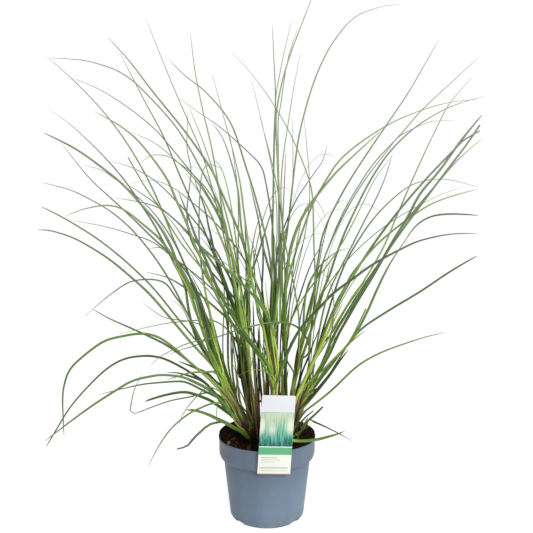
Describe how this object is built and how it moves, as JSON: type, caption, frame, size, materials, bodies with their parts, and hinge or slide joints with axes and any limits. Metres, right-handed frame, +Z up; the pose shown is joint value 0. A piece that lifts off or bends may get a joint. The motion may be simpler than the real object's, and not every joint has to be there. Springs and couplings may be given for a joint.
{
  "type": "potted pampas grass",
  "caption": "Young pampas grass in a tapered blue-grey nursery pot: long arching green blades from a tight clump of shoots, with a plain plant label at the rim.",
  "frame": {"origin": "centre of the pot's flat underside, on the pot's axis", "axes": "+Z up along the pot's axis, -Y towards the plant label at the front, +X to its right"},
  "size_m": [1.015, 0.7901, 1.0574],
  "materials": {
    "pot_plastic": "injection moulded, satin, blue-grey",
    "potting_soil": "moist peat-like compost with bark chips",
    "label_card": "printed plastic card, satin",
    "leaf_sheath": "ribbed leaf sheath, purple-brown at the foot and yellow-green above",
    "grass_blade": "narrow leaf blade with a pale midrib, satin"
  },
  "bodies": {
    "root": {"pot": "pot_plastic", "soil": "potting_soil", "plant_label": "label_card", "shoot_01": "leaf_sheath", "shoot_02": "leaf_sheath", "shoot_03": "leaf_sheath", "shoot_04": "leaf_sheath", "shoot_05": "leaf_sheath", "shoot_06": "leaf_sheath", "shoot_07": "leaf_sheath", "shoot_08": "leaf_sheath", "shoot_09": "leaf_sheath", "shoot_10": "leaf_sheath", "shoot_11": "leaf_sheath", "shoot_12": "leaf_sheath", "leaf_01": "grass_blade", "leaf_02": "grass_blade", "leaf_03": "grass_blade", "leaf_04": "grass_blade", "leaf_05": "grass_blade", "leaf_06": "grass_blade", "leaf_07": "grass_blade", "leaf_08": "grass_blade", "leaf_09": "grass_blade", "leaf_10": "grass_blade", "leaf_11": "grass_blade", "leaf_12": "grass_blade", "leaf_13": "grass_blade", "leaf_14": "grass_blade", "leaf_15": "grass_blade", "leaf_16": "grass_blade", "leaf_17": "grass_blade", "leaf_18": "grass_blade", "leaf_19": "grass_blade", "leaf_20": "grass_blade", "leaf_21": "grass_blade", "leaf_22": "grass_blade", "leaf_23": "grass_blade", "leaf_24": "grass_blade", "leaf_25": "grass_blade", "leaf_26": "grass_blade", "leaf_27": "grass_blade", "leaf_28": "grass_blade", "leaf_29": "grass_blade", "leaf_30": "grass_blade", "leaf_31": "grass_blade", "leaf_32": "grass_blade", "leaf_33": "grass_blade", "leaf_34": "grass_blade", "leaf_35": "grass_blade", "leaf_36": "grass_blade", "leaf_37": "grass_blade", "leaf_38": "grass_blade", "leaf_39": "grass_blade", "leaf_40": "grass_blade", "leaf_41": "grass_blade", "leaf_42": "grass_blade", "leaf_43": "grass_blade", "leaf_44": "grass_blade", "leaf_45": "grass_blade"}
  },
  "joints": []
}
